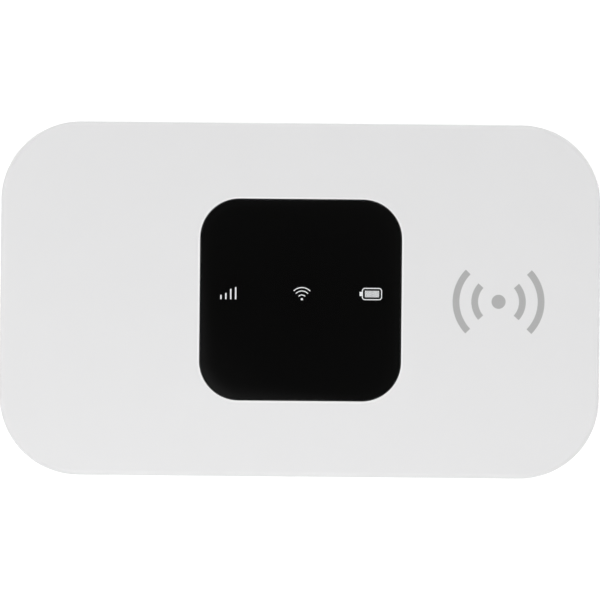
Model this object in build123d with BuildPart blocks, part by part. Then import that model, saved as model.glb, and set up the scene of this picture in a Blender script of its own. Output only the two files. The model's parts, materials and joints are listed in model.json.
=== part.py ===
from build123d import *
import math
import os

# Pocket LTE hotspot: a flat rounded box with a square display window in its top face,
# lying on its clip-on back cover.
# Millimetres. X is the long side, Y the short side, Z up. Origin: centre of the underside.

# ---------------------------------------------------------------- driving dimensions
LENGTH = 98.0
WIDTH = 57.8
HEIGHT = 14.2
CORNER_R = 13.0
WALL = 1.3                    # case wall, and the thickness of the top face

# back cover
PLATE_T = 1.2
COVER_TOP = 4.5               # height of the cover's rim
BASE_EDGE_R = 2.6
BASE_INNER_R = 1.0
SEAM = 0.12                   # open line between cover and housing
SEAM_BEVEL = 0.15

# top housing
HOUSING_BOTTOM = COVER_TOP + SEAM
CEILING_Z = HEIGHT - WALL
TOP_EDGE_R = 0.8

# display window
WINDOW_X = 0.1                # centre of the window
LENS_SIDE = 32.9
LENS_R = 6.4
LENS_T = 1.0
LENS_RECESS = 0.1             # below the top face
LENS_BEVEL = 0.2
WINDOW_GAP = 0.05
TRIM_W = 0.3                  # thin ring let into the top face around the lens
TRIM_T = 0.6
TRIM_DROP = 0.08              # its top slopes down to the lens
TRIM_FLAT = 0.05
MASK_T = 0.05
TAPE_T = 0.15
TAPE_MARGIN = 0.2             # from the tape to the lens edge, and to the aperture
LEDGE_T = 0.8
LEDGE_RIM = 1.5               # plastic around the ledge
APERTURE = 29.0
APERTURE_R = 4.5
MASK_Z = HEIGHT - LENS_RECESS - LENS_T - MASK_T
LEDGE_TOP = MASK_Z - TAPE_T
LEDGE_BOTTOM = LEDGE_TOP - LEDGE_T

# icons, measured from the centre of the case
SIGNAL_X = -12.93             # foot of the first bar
SIGNAL_Y = 0.02
BAR_PITCH = 0.80
BAR_W = 0.24
BAR_HEIGHTS = (0.70, 1.02, 1.70, 1.98)
WIRELESS_X = 0.30             # dot of the wireless fan
WIRELESS_Y = 0.13
DOT_R = 0.19
FAN_RADII = (0.70, 1.35, 1.91)
FAN_HALF_ANGLES = (49, 47, 45)
FAN_STROKE = 0.155
CELL_ICON_X = 11.76           # centre of the battery outline
CELL_ICON_Y = 1.08
CELL_ICON_L = 3.30
CELL_ICON_H = 2.00
CELL_ICON_R = 0.5
CELL_ICON_STROKE = 0.16
CELL_ICON_NUB = (0.38, 0.68)
CELL_FILL_DOT = 0.155         # the charge field is a raster of square dots
CELL_FILL_PITCH = 0.18
CELL_FILL_COUNT = (13, 6)
ICON_XS = (-11.7, 0.3, 11.7)  # one light under each icon
ICON_ROW_Y = 0.97

# light path under the icons
DIFFUSER = (4.4, 5.0, 0.8)
BAFFLE_WALL = 0.7
BAFFLE_GAP = 0.2              # to the aperture's edge
BAFFLE_TOP = MASK_Z - 0.02
WELL_GAP = 0.05               # around each diffuser
LED_BASE = (1.6, 0.8, 0.25)
LED_LENS = (1.1, 0.7, 0.35)
LED_BEVEL = 0.12

# generic radio mark on the top face
MARK_X = 32.4
MARK_DOT_R = 1.15
MARK_RADII = (3.9, 6.95)
MARK_HALF_ANGLES = (42, 44)
MARK_STROKE = 1.1
MARK_DEPTH = 0.1

# mid frame
FRAME_GAP = 0.15
FRAME_INSET = WALL + FRAME_GAP
FRAME_WALL = 1.1
FRAME_BOTTOM = 2.0
FLOOR_BOTTOM = 6.8
FLOOR_TOP = 7.6
RIB_T = 0.8
RIB_BOTTOM = 4.0
RIB_PITCH = 10.0
RIB_COUNT = 5
END_RIB_L = 11.5
END_RIB_YS = (-12.0, 12.0)
CUT_THROUGH = 0.1             # cuts run this far past the wall they open

# main board
BOARD_Z = 8.4
BOARD_T = 1.0
BOARD_TOP = BOARD_Z + BOARD_T
BOARD_INSET = 2.2
USB_NOTCH_GAP = 0.25
USB_NOTCH_BACK_GAP = 0.15
BUTTON_NOTCH_GAP = 0.7
BAFFLE_BOTTOM = BOARD_TOP + 0.1

# case screws and threaded inserts
SCREW_X = 40.5
SCREW_Y = 20.5
BOSS_R = 2.4
BOSS_BOTTOM = BOARD_TOP + 0.05
INSERT_R = 1.58
INSERT_BORE_R = 0.82
INSERT_L = 2.6
SCREW_R = 0.8
SCREW_HEAD_R = 1.5
SCREW_HEAD_T = 0.8
SCREW_L = 4.6
SCREW_CLEAR_R = 1.0
RECESS_W = 0.35               # arm of the cross recess
RECESS_L = 1.7
RECESS_FLOOR = 0.25           # steel left below the recess
INSERT_PLAY = 0.02
SCREW_TIP_ROOM = 0.3

# snap tongues on the back cover
SNAP_PITCH = 28.0
SNAP_W = 6.0
SNAP_T = 0.75
SNAP_INSET = WALL + 0.2
SNAP_TOP = 6.2
SNAP_FOOT_DROP = 0.4          # the foot ends this far below the rim
SNAP_SIDE_GAP = 0.3
SNAP_BUMP_R = 0.3
SNAP_BUMP_L = 4.0
SNAP_BUMP_Z = 5.6
SNAP_BUMP_OUT = 0.14
NAIL_NOTCH_DEPTH = 0.7
NAIL_NOTCH_H = 0.9

# battery
BATTERY_X = -6.0
BATTERY_L = 58.0
BATTERY_W = 42.0
BATTERY_Z = 1.5
BATTERY_T = 5.1
BATTERY_R = 1.2
CAP_EDGE_R = 0.5
PAD_MARGIN = 4.0              # battery beyond the foam pad on each side
PAD_R = 2.0
PAD_GAP = 0.1
WRAP_T = 0.1
END_CAP_L = 2.4
CONTACT_CAP_L = 3.2
BAY_GAP = 0.2
BAY_WALL = 0.9
BAY_R = 0.7
FINGER_NOTCH = (14.0, 2.5)    # width, height
LABEL = (44.0, 30.0, 0.1)
LABEL_R = 1.0
CONTACT_YS = (-3.2, 0.0, 3.2)
CONTACT_W = 1.6
CONTACT_H = 2.6
CONTACT_T = 0.3
PROTECTION_L = 0.6
PROTECTION_W = 16.0
PROTECTION_H = 3.4
BATTERY_END_X = BATTERY_X + BATTERY_L / 2
BATTERY_MID_Z = BATTERY_Z + BATTERY_T / 2

# battery connector
CONNECTOR_GAP = 0.4
CONNECTOR_L = 3.0
CONNECTOR_W = 10.0
CONNECTOR_BOTTOM = 2.6
CONNECTOR_X = BATTERY_END_X + CONNECTOR_GAP
CONNECTOR_EDGE_R = 0.4
CONNECTOR_WINDOW_GAP = 0.3
SPRING_SLOT = (1.0, 1.2, 2.8) # depth, width, height
SPRING_W = 0.9
SPRING_T = 0.2
SPRING_NOSE_X = BATTERY_END_X + 0.14
SPRING_BENDS = ((0.5, 1.0), (0.9, 1.2))  # into the slot, and up or down from its middle

# SIM holder, hanging under the board
SIM_X = 35.2
SIM_Y = 1.5
SIM_CARD = (12.0, 15.0, 0.76)
SIM_CARD_Z = 7.25
SIM_CARD_CORNER = 2.5
SIM_CAGE_Y = (SIM_Y - 5.0, SIM_Y + 7.9)
SIM_CAGE_GAP = 0.2
SIM_CAGE_T = 0.2
SIM_CAGE_WALL = 0.25
SIM_BASE_T = 0.35
SIM_WINDOW_GAP = 0.45
SIM_WINDOW_Y = (-17.8, SIM_Y + 8.4)
SIM_CARD_PLAY = 0.07          # between the card and the cage's floor
SIM_FRAME = (5.0, 7.0)        # cage left around the window that shows the card
SIM_FRAME_SHIFT = 1.2
SIM_SCALLOP_R = 2.6
SIM_SLOT = (1.4, 3.2)         # in the base, around each contact
SIM_CONTACT = (1.1, 2.8, 0.15)
SIM_CONTACT_PITCH = 2.54
SIM_CONTACT_GAP = 0.04        # above the card
SIM_BASE_PLAY = 0.05
SIM_CONTACT_YS = (SIM_Y - 2.5, SIM_Y + 3.5)
SIM_CARD_W, SIM_CARD_L, SIM_CARD_T = SIM_CARD
SIM_INNER_W = SIM_CARD_W + 2 * SIM_CAGE_GAP
SIM_OUTER_W = SIM_INNER_W + 2 * SIM_CAGE_WALL

# USB socket on the front side
USB_Z = 9.0
USB_W = 7.5
USB_H = 2.5
USB_DEPTH = 5.2
USB_SHEET = 0.25
USB_CORNER_CUT = 0.95         # of the two lower corners
USB_EDGE_R = 0.4
USB_TAB = (1.3, 2.4, 0.25)    # soldered to the board on each side
USB_TAB_Y = 3.3               # behind the socket's mouth
USB_BASE_T = 1.0
USB_BASE_PLAY = 0.03
USB_TONGUE = (4.2, 0.6)
USB_TONGUE_L = 4.0
USB_TONGUE_Z = USB_Z + 0.25
USB_CONTACT = (0.35, 2.6, 0.12)
USB_CONTACT_PITCH = 0.65
USB_RECESS = 0.2
USB_OPENING = (8.4, 3.3)
USB_OPENING_R = 1.1
OPENING_BEVEL = 0.3
USB_FRONT_Y = WIDTH / 2 - USB_RECESS

# side buttons on the rear side
BUTTON_Z = 9.6
BUTTON_H = 2.6
POWER_X = 20.0
POWER_L = 12.0
WIFI_X = 4.0
WIFI_L = 6.0
BUTTON_GAP = 0.12
BUTTON_RECESS = 0.05
BUTTON_EDGE_R = 0.25
FLANGE_GROW = 0.4
FLANGE_T = 0.9
FLANGE_GAP = 0.1              # to the inside of the wall
FLANGE_BACK_Y = WIDTH / 2 - WALL - FLANGE_GAP - FLANGE_T
SWITCH_SIZE = (4.4, 2.4, 1.5)
FLANGE_TO_SWITCH = 1.3
SWITCH_FRONT_Y = FLANGE_BACK_Y - FLANGE_TO_SWITCH
PLUNGER_W = 1.4
PLUNGER_H = 0.8
PLUNGER_Z = BOARD_TOP + 0.8
PLUNGER_GAP = 0.1
PLUNGER_TAIL = 0.3
SWITCH_POCKET = 0.7

# reset switch under the board
RESET_X = 35.0
RESET_Y = 14.5
RESET_SIZE = 3.0
RESET_T = 0.7
RESET_PLUNGER_R = 0.6
RESET_PLUNGER_BOTTOM = 7.1
RESET_PLUNGER_TOP = 8.1
RESET_POCKET_TOP = 8.33
RESET_HOLE_R = 0.9
RESET_PLAY = 0.08

# chips: length, width and height, and their centres on the board
BASEBAND_CHIP = (12.0, 12.0, 1.1)
BASEBAND_CHIP_AT = (-26.0, 2.0)
MEMORY_CHIP = (8.0, 9.0, 1.0)
MEMORY_CHIP_AT = (-23.5, -10.5)
POWER_CHIP = (6.0, 6.0, 0.9)
POWER_CHIP_AT = (-33.0, -9.0)
TRANSCEIVER_CHIP = (6.0, 6.0, 0.9)
TRANSCEIVER_CHIP_AT = (22.5, -5.0)
AMPLIFIER = (4.0, 3.0, 0.8)
AMPLIFIERS_AT = ((32.0, -3.0), (32.0, -8.5))
WIFI_CHIP = (6.0, 6.0, 0.8)
WIFI_CHIP_AT = (24.0, 10.5)
CHIP_STANDOFF = 0.12          # height of the contacts under a chip
CHIP_BEVEL = 0.12
PIN_DIMPLE_R = 0.35
PIN_DIMPLE_DEPTH = 0.05
THERMAL_PAD_SIDE = 10.0

# small components
INDUCTOR = (2.5, 2.0, 1.2)
INDUCTOR_R = 0.4
INDUCTOR_BEVEL = 0.15
INDUCTOR_NOTCH = (0.15, 1.0, 0.9)
INDUCTORS_AT = ((-35.0, -2.0), (-35.0, 1.5), (-35.0, 5.0))
CRYSTAL_BASE = (2.0, 1.6, 0.35)
CRYSTAL_LID = (1.75, 1.35, 0.25)
CRYSTAL_LID_R = 0.25
CRYSTAL_BEVEL = 0.08
CRYSTALS_AT = ((22.5, -12.5), (30.5, 14.0))
CAP_STEP = 0.04               # a metal end cap stands out this far from its component
CAP_BEVEL = 0.05
PASSIVE = (1.0, 0.5, 0.5)
PASSIVE_CAP = 0.22
PASSIVE_PITCH = (2.2, 1.6)
PASSIVE_GROUPS_AT = ((-27.0, 15.5), (-27.0, -21.5), (10.0, -21.5))

# shield cans: centre X, centre Y, length, width
CAN_T = 0.2
CAN_H = 2.0
CAN_R = 0.8
VENT_R = 0.4
VENT_PITCH = 3.0
BASEBAND_CAN = (-27.5, -3.0, 20.0, 28.0)
RF_CAN = (27.5, -8.0, 20.0, 18.0)
WIFI_CAN = (26.0, 10.5, 17.0, 13.0)

# antennas
CARRIER_L = 4.9
CARRIER_W = 27.0
CARRIER_H = 3.1
CARRIER_WALL = 0.9
CARRIER_GAP = 0.8             # to the inside of the wall
CARRIER_X = LENGTH / 2 - WALL - CARRIER_GAP - CARRIER_L / 2
FOIL_T = 0.1
FOIL_SLOT = 0.9
FOIL_SLOT_SHIFT = 1.2
FOIL_LIFT = 0.4               # from the board to the foil's lower edge
MAIN_SLOT_YS = (-9.0, -5.0, -1.0, 3.0, 7.0)
DIVERSITY_SLOT_YS = (-8.0, -2.0, 4.0, 10.0)
WIFI_ANTENNA = (6.0, 2.0, 1.2)
WIFI_ANTENNA_CAP = 0.8
WIFI_ANTENNA_AT = (-30.0, 22.0)
CLIP_SIZE = (1.4, 2.4, 1.6)
CLIP_T = 0.15
CLIP_YS = (-6.0, 6.0)
CLIP_GAP = 0.1                # to the carrier
CLIP_X = CARRIER_X - CARRIER_L / 2 - CLIP_GAP - CLIP_SIZE[0] / 2

ON_TOP = (Align.CENTER, Align.CENTER, Align.MIN)
UNDER = (Align.CENTER, Align.CENTER, Align.MAX)
INWARD = (Align.CENTER, Align.MIN, Align.MIN)

# eight snap places; at each one, local +Y points into the case
SNAP_SPOTS = [
    Location((x, side * WIDTH / 2, 0), (0, 0, 90 * (1 + side)))
    for x in (-SNAP_PITCH, 0, SNAP_PITCH)
    for side in (-1, 1)
]
SNAP_SPOTS += [Location((side * LENGTH / 2, 0, 0), (0, 0, 90 * side)) for side in (-1, 1)]

os.makedirs("parts", exist_ok=True)


# ---------------------------------------------------------------- shared profiles
def case_plan(inset):
    """Plan of the case, moved in from its outer face by inset."""
    RectangleRounded(LENGTH - 2 * inset, WIDTH - 2 * inset, CORNER_R - inset)


def window_plan(grow, mode=Mode.ADD):
    """Plan of the display lens, grown by grow."""
    side = LENS_SIDE + 2 * grow
    with Locations((WINDOW_X, 0)):
        RectangleRounded(side, side, LENS_R + grow, mode=mode)


def screw_circles(radius, mode=Mode.ADD):
    """One circle at each of the four case screws."""
    with GridLocations(2 * SCREW_X, 2 * SCREW_Y, 2, 2):
        Circle(radius, mode=mode)


def button_plan(length, height, grow):
    """Pill outline of a side button, grown by grow."""
    SlotOverall(length + 2 * grow, height + 2 * grow)


def arc_fan(radii, half_angles, stroke, heading):
    """Concentric arcs about the origin, spread to both sides of heading (degrees)."""
    with BuildSketch() as fan:
        for radius, half_angle in zip(radii, half_angles):
            with BuildLine():
                CenterArc((0, 0), radius, heading - half_angle, 2 * half_angle)
            trace(line_width=stroke)
    return fan.sketch


# ---------------------------------------------------------------- icons and mark
with BuildSketch() as icons:
    for count, height in enumerate(BAR_HEIGHTS):
        with Locations((SIGNAL_X + count * BAR_PITCH, SIGNAL_Y)):
            Rectangle(BAR_W, height, align=(Align.CENTER, Align.MIN))
    with Locations((WIRELESS_X, WIRELESS_Y)):
        Circle(DOT_R)
        add(arc_fan(FAN_RADII, FAN_HALF_ANGLES, FAN_STROKE, 90))
    with Locations((CELL_ICON_X, CELL_ICON_Y)):
        RectangleRounded(CELL_ICON_L, CELL_ICON_H, CELL_ICON_R)
        RectangleRounded(
            CELL_ICON_L - 2 * CELL_ICON_STROKE,
            CELL_ICON_H - 2 * CELL_ICON_STROKE,
            CELL_ICON_R - CELL_ICON_STROKE,
            mode=Mode.SUBTRACT,
        )
        with GridLocations(CELL_FILL_PITCH, CELL_FILL_PITCH, *CELL_FILL_COUNT):
            Rectangle(CELL_FILL_DOT, CELL_FILL_DOT)
    with Locations((CELL_ICON_X - CELL_ICON_L / 2, CELL_ICON_Y)):
        Rectangle(*CELL_ICON_NUB, align=(Align.MAX, Align.CENTER))

with BuildSketch() as mark:
    Circle(MARK_DOT_R)
    for heading in (0, 180):
        add(arc_fan(MARK_RADII, MARK_HALF_ANGLES, MARK_STROKE, heading))


# ---------------------------------------------------------------- back cover
with BuildPart() as back_cover:
    with BuildSketch():
        case_plan(0)
    extrude(amount=COVER_TOP)
    fillet(back_cover.edges().group_by(Axis.Z)[0], BASE_EDGE_R)
    chamfer(back_cover.edges().group_by(Axis.Z)[-1], SEAM_BEVEL)
    with BuildPart(mode=Mode.SUBTRACT) as tray_hollow:
        with BuildSketch(Plane.XY.offset(PLATE_T)):
            case_plan(WALL)
        extrude(amount=COVER_TOP - PLATE_T)
        fillet(tray_hollow.edges().group_by(Axis.Z)[0], BASE_INNER_R)
    # snap tongues: a foot joined to the wall, and a free upper part with a small bump
    with Locations(*SNAP_SPOTS):
        with Locations((0, WALL / 2, PLATE_T)):
            foot_h = COVER_TOP - SNAP_FOOT_DROP - PLATE_T
            Box(SNAP_W, SNAP_INSET + SNAP_T - WALL / 2, foot_h, align=INWARD)
        with Locations((0, SNAP_INSET, PLATE_T)):
            Box(SNAP_W, SNAP_T, SNAP_TOP - PLATE_T, align=INWARD)
        with Locations((0, SNAP_INSET + SNAP_BUMP_R - SNAP_BUMP_OUT, SNAP_BUMP_Z)):
            Cylinder(SNAP_BUMP_R, SNAP_BUMP_L, rotation=(0, 90, 0))
    # fingernail notch in the rim at one corner
    with Locations(Location((LENGTH / 2 - CORNER_R, CORNER_R - WIDTH / 2, COVER_TOP), (0, 0, -45))):
        with Locations((CORNER_R - NAIL_NOTCH_DEPTH, 0, 0)):
            Box(
                CORNER_R,
                CORNER_R,
                NAIL_NOTCH_H,
                align=(Align.MIN, Align.CENTER, Align.MAX),
                mode=Mode.SUBTRACT,
            )
back_cover.part.label = "back_cover"
export_step(back_cover.part, "parts/back_cover.step")

with BuildPart() as battery_pad:
    with BuildSketch(Plane.XY.offset(PLATE_T)):
        with Locations((BATTERY_X, 0)):
            RectangleRounded(BATTERY_L - 2 * PAD_MARGIN, BATTERY_W - 2 * PAD_MARGIN, PAD_R)
    extrude(amount=BATTERY_Z - PLATE_T - PAD_GAP)
battery_pad.part.label = "battery_pad"
export_step(battery_pad.part, "parts/battery_pad.step")


# ---------------------------------------------------------------- top housing
with BuildPart() as top_housing:
    with BuildSketch(Plane.XY.offset(HOUSING_BOTTOM)):
        case_plan(0)
    extrude(amount=HEIGHT - HOUSING_BOTTOM)
    fillet(top_housing.edges().group_by(Axis.Z)[-1], TOP_EDGE_R)
    chamfer(top_housing.edges().group_by(Axis.Z)[0], SEAM_BEVEL)
    with BuildSketch(Plane.XY.offset(HOUSING_BOTTOM)):
        case_plan(WALL)
    extrude(amount=CEILING_Z - HOUSING_BOTTOM, mode=Mode.SUBTRACT)
    # the window: a rim below the ceiling, the lens recess, and the aperture through the ledge
    with BuildSketch(Plane.XY.offset(LEDGE_BOTTOM)):
        window_plan(LEDGE_RIM)
    extrude(amount=CEILING_Z - LEDGE_BOTTOM)
    with BuildSketch(Plane.XY.offset(LEDGE_TOP)):
        window_plan(WINDOW_GAP)
    extrude(amount=HEIGHT - LEDGE_TOP, mode=Mode.SUBTRACT)
    with BuildSketch(Plane.XY.offset(LEDGE_BOTTOM)):
        RectangleRounded(APERTURE, APERTURE, APERTURE_R)
    extrude(amount=LEDGE_T, mode=Mode.SUBTRACT)
    with BuildSketch(Plane.XY.offset(HEIGHT - TRIM_T)):
        window_plan(WINDOW_GAP + TRIM_W)
    extrude(amount=TRIM_T, mode=Mode.SUBTRACT)
    # screw bosses, bored for the inserts
    with BuildSketch(Plane.XY.offset(BOSS_BOTTOM)):
        screw_circles(BOSS_R)
    extrude(amount=CEILING_Z - BOSS_BOTTOM)
    with BuildSketch(Plane.XY.offset(BOSS_BOTTOM)):
        screw_circles(INSERT_R + INSERT_PLAY)
    extrude(amount=INSERT_L + SCREW_TIP_ROOM, mode=Mode.SUBTRACT)
    # USB opening on the front side, with a bevelled mouth
    with BuildSketch(Plane.front.offset(WIDTH / 2 - WALL)):
        with Locations((0, USB_Z)):
            RectangleRounded(*USB_OPENING, USB_OPENING_R)
    extrude(amount=WALL, mode=Mode.SUBTRACT)
    with BuildSketch(Plane.front.offset(WIDTH / 2 - OPENING_BEVEL)):
        with Locations((0, USB_Z)):
            RectangleRounded(*USB_OPENING, USB_OPENING_R)
    extrude(amount=OPENING_BEVEL, taper=-45, mode=Mode.SUBTRACT)
    # button openings on the rear side
    with BuildSketch(Plane.back.offset(WIDTH / 2 - WALL)):
        with Locations((-POWER_X, BUTTON_Z)):
            button_plan(POWER_L, BUTTON_H, BUTTON_GAP)
        with Locations((-WIFI_X, BUTTON_Z)):
            button_plan(WIFI_L, BUTTON_H, BUTTON_GAP)
    extrude(amount=WALL, mode=Mode.SUBTRACT)
    # pocket for the mark
    with BuildSketch(Plane.XY.offset(HEIGHT - MARK_DEPTH)):
        with Locations((MARK_X, 0)):
            add(mark.sketch)
    extrude(amount=MARK_DEPTH, mode=Mode.SUBTRACT)
top_housing.part.label = "top_housing"
export_step(top_housing.part, "parts/top_housing.step")

with BuildPart() as front_mark:
    with BuildSketch(Plane.XY.offset(HEIGHT - MARK_DEPTH)):
        with Locations((MARK_X, 0)):
            add(mark.sketch)
    extrude(amount=MARK_DEPTH)
front_mark.part.label = "front_mark"
export_step(front_mark.part, "parts/front_mark.step")

with BuildPart() as window_trim:
    with BuildSketch(Plane.XY.offset(HEIGHT - TRIM_T)):
        window_plan(WINDOW_GAP + TRIM_W)
        window_plan(WINDOW_GAP, mode=Mode.SUBTRACT)
    extrude(amount=TRIM_T)
    with BuildSketch(Plane.XY.offset(HEIGHT - TRIM_DROP)):
        window_plan(WINDOW_GAP)
    slope = math.degrees(math.atan2(TRIM_W - TRIM_FLAT, TRIM_DROP))
    extrude(amount=TRIM_DROP, taper=-slope, mode=Mode.SUBTRACT)
window_trim.part.label = "window_trim"
export_step(window_trim.part, "parts/window_trim.step")


# ---------------------------------------------------------------- display window
with BuildPart() as display_lens:
    with BuildSketch(Plane.XY.offset(MASK_Z + MASK_T)):
        window_plan(0)
    extrude(amount=LENS_T)
    chamfer(display_lens.edges().group_by(Axis.Z)[-1], LENS_BEVEL)
display_lens.part.label = "display_lens"
export_step(display_lens.part, "parts/display_lens.step")

with BuildPart() as lens_mask:
    with BuildSketch(Plane.XY.offset(MASK_Z)):
        window_plan(0)
        add(icons.sketch, mode=Mode.SUBTRACT)
    extrude(amount=MASK_T)
lens_mask.part.label = "lens_mask"
export_step(lens_mask.part, "parts/lens_mask.step")

with BuildPart() as lens_tape:
    with BuildSketch(Plane.XY.offset(LEDGE_TOP)):
        window_plan(-TAPE_MARGIN)
        RectangleRounded(
            APERTURE + 2 * TAPE_MARGIN,
            APERTURE + 2 * TAPE_MARGIN,
            APERTURE_R + TAPE_MARGIN,
            mode=Mode.SUBTRACT,
        )
    extrude(amount=TAPE_T)
lens_tape.part.label = "lens_tape"
export_step(lens_tape.part, "parts/lens_tape.step")

DIFFUSER_L, DIFFUSER_W, DIFFUSER_T = DIFFUSER
with BuildPart() as icon_diffusers:
    with Locations(*[(x, ICON_ROW_Y, BAFFLE_TOP) for x in ICON_XS]):
        Box(DIFFUSER_L, DIFFUSER_W, DIFFUSER_T, align=UNDER)
icon_diffusers.part.label = "icon_diffusers"
export_step(icon_diffusers.part, "parts/icon_diffusers.step")

# opaque moulding between board and mask: a top plate with one light well under each icon
BAFFLE_SIDE = APERTURE - 2 * BAFFLE_GAP
BAFFLE_R = APERTURE_R - BAFFLE_GAP
WELL_L = DIFFUSER_L + 2 * WELL_GAP
WELL_W = DIFFUSER_W + 2 * WELL_GAP
with BuildPart() as light_baffle:
    with BuildSketch(Plane.XY.offset(BAFFLE_BOTTOM)):
        RectangleRounded(BAFFLE_SIDE, BAFFLE_SIDE, BAFFLE_R)
    extrude(amount=BAFFLE_TOP - BAFFLE_BOTTOM)
    # hollow below the plate, but solid around the wells
    with BuildSketch(Plane.XY.offset(BAFFLE_BOTTOM)):
        hollow_side = BAFFLE_SIDE - 2 * BAFFLE_WALL
        RectangleRounded(hollow_side, hollow_side, BAFFLE_R - BAFFLE_WALL)
        with Locations(*[(x, ICON_ROW_Y) for x in ICON_XS]):
            Rectangle(WELL_L + 2 * BAFFLE_WALL, WELL_W + 2 * BAFFLE_WALL, mode=Mode.SUBTRACT)
    extrude(amount=BAFFLE_TOP - BAFFLE_BOTTOM - BAFFLE_WALL, mode=Mode.SUBTRACT)
    with BuildSketch(Plane.XY.offset(BAFFLE_BOTTOM)):
        with Locations(*[(x, ICON_ROW_Y) for x in ICON_XS]):
            Rectangle(WELL_L, WELL_W)
    extrude(amount=BAFFLE_TOP - BAFFLE_BOTTOM, mode=Mode.SUBTRACT)
light_baffle.part.label = "light_baffle"
export_step(light_baffle.part, "parts/light_baffle.step")

with BuildPart() as status_leds:
    with Locations(*[(x, ICON_ROW_Y, BOARD_TOP) for x in ICON_XS]):
        Box(*LED_BASE, align=ON_TOP)
    with Locations(*[(x, ICON_ROW_Y, BOARD_TOP + LED_BASE[2]) for x in ICON_XS]):
        Box(*LED_LENS, align=ON_TOP)
    chamfer(status_leds.edges().group_by(Axis.Z)[-1], LED_BEVEL)
status_leds.part.label = "status_leds"
export_step(status_leds.part, "parts/status_leds.step")


# ---------------------------------------------------------------- mid frame
BAY_L = BATTERY_L + 2 * BAY_GAP
BAY_W = BATTERY_W + 2 * BAY_GAP
with BuildPart() as mid_frame:
    with BuildSketch(Plane.XY.offset(FRAME_BOTTOM)):
        case_plan(FRAME_INSET)
    extrude(amount=FLOOR_TOP - FRAME_BOTTOM)
    with BuildSketch(Plane.XY.offset(FRAME_BOTTOM)):
        case_plan(FRAME_INSET + FRAME_WALL)
    extrude(amount=FLOOR_BOTTOM - FRAME_BOTTOM, mode=Mode.SUBTRACT)
    # stiffening ribs from the skirt to the battery bay
    with BuildSketch(Plane.XY.offset(RIB_BOTTOM)):
        with Locations((BATTERY_X, 0)):
            with GridLocations(RIB_PITCH, 0, RIB_COUNT, 1):
                Rectangle(RIB_T, WIDTH - 2 * FRAME_INSET - FRAME_WALL)
        with Locations(*[(FRAME_INSET + FRAME_WALL / 2 - LENGTH / 2, y) for y in END_RIB_YS]):
            Rectangle(END_RIB_L, RIB_T, align=(Align.MIN, Align.CENTER))
    extrude(amount=FLOOR_BOTTOM - RIB_BOTTOM)
    # battery bay
    with BuildSketch(Plane.XY.offset(FRAME_BOTTOM)):
        with Locations((BATTERY_X, 0)):
            RectangleRounded(BAY_L + 2 * BAY_WALL, BAY_W + 2 * BAY_WALL, BAY_R + BAY_WALL)
    extrude(amount=FLOOR_BOTTOM - FRAME_BOTTOM)
    with BuildSketch(Plane.XY.offset(FRAME_BOTTOM)):
        with Locations((BATTERY_X, 0)):
            RectangleRounded(BAY_L, BAY_W, BAY_R)
    extrude(amount=FLOOR_BOTTOM - FRAME_BOTTOM, mode=Mode.SUBTRACT)
    # finger notch in the bay's plain end
    with Locations((BATTERY_X - BAY_L / 2 - BAY_WALL / 2, 0, FRAME_BOTTOM)):
        Box(3 * BAY_WALL, *FINGER_NOTCH, align=ON_TOP, mode=Mode.SUBTRACT)
    # board posts over the screws
    with BuildSketch(Plane.XY.offset(FLOOR_TOP)):
        screw_circles(BOSS_R)
    extrude(amount=BOARD_Z - FLOOR_TOP)
    with BuildSketch(Plane.XY.offset(FLOOR_BOTTOM)):
        screw_circles(SCREW_CLEAR_R)
    extrude(amount=BOARD_Z - FLOOR_BOTTOM, mode=Mode.SUBTRACT)
    # windows in the floor: battery connector, SIM holder, reset plunger
    with BuildSketch(Plane.XY.offset(FRAME_BOTTOM)):
        with Locations((CONNECTOR_X - CONNECTOR_WINDOW_GAP, 0)):
            Rectangle(
                CONNECTOR_L + 2 * CONNECTOR_WINDOW_GAP,
                CONNECTOR_W + 2 * CONNECTOR_WINDOW_GAP,
                align=(Align.MIN, Align.CENTER),
            )
        with Locations((SIM_X, SIM_WINDOW_Y[0])):
            Rectangle(
                SIM_OUTER_W + 2 * SIM_WINDOW_GAP,
                SIM_WINDOW_Y[1] - SIM_WINDOW_Y[0],
                align=(Align.CENTER, Align.MIN),
            )
        with Locations((RESET_X, RESET_Y)):
            Circle(RESET_HOLE_R)
    extrude(amount=FLOOR_TOP - FRAME_BOTTOM, mode=Mode.SUBTRACT)
    # slots in the skirt for the snap tongues
    with Locations(*SNAP_SPOTS):
        with Locations((0, FRAME_INSET - CUT_THROUGH, FRAME_BOTTOM)):
            Box(
                SNAP_W + 2 * SNAP_SIDE_GAP,
                FRAME_WALL + 2 * CUT_THROUGH,
                SNAP_TOP + SNAP_SIDE_GAP - FRAME_BOTTOM,
                align=INWARD,
                mode=Mode.SUBTRACT,
            )
mid_frame.part.label = "mid_frame"
export_step(mid_frame.part, "parts/mid_frame.step")

LABEL_L, LABEL_W, LABEL_T = LABEL
with BuildPart() as rating_label:
    with BuildSketch(Plane.XY.offset(FLOOR_BOTTOM - LABEL_T)):
        with Locations((BATTERY_X, 0)):
            RectangleRounded(LABEL_L, LABEL_W, LABEL_R)
    extrude(amount=LABEL_T)
rating_label.part.label = "rating_label"
export_step(rating_label.part, "parts/rating_label.step")

with BuildPart() as frame_screws:
    with BuildSketch(Plane.XY.offset(FLOOR_BOTTOM - SCREW_HEAD_T)):
        screw_circles(SCREW_HEAD_R)
    extrude(amount=SCREW_HEAD_T)
    with BuildSketch(Plane.XY.offset(FLOOR_BOTTOM)):
        screw_circles(SCREW_R)
    extrude(amount=SCREW_L)
    with BuildSketch(Plane.XY.offset(FLOOR_BOTTOM - SCREW_HEAD_T)):
        with GridLocations(2 * SCREW_X, 2 * SCREW_Y, 2, 2):
            Rectangle(RECESS_L, RECESS_W)
            Rectangle(RECESS_W, RECESS_L)
    extrude(amount=SCREW_HEAD_T - RECESS_FLOOR, mode=Mode.SUBTRACT)
frame_screws.part.label = "frame_screws"
export_step(frame_screws.part, "parts/frame_screws.step")

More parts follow.
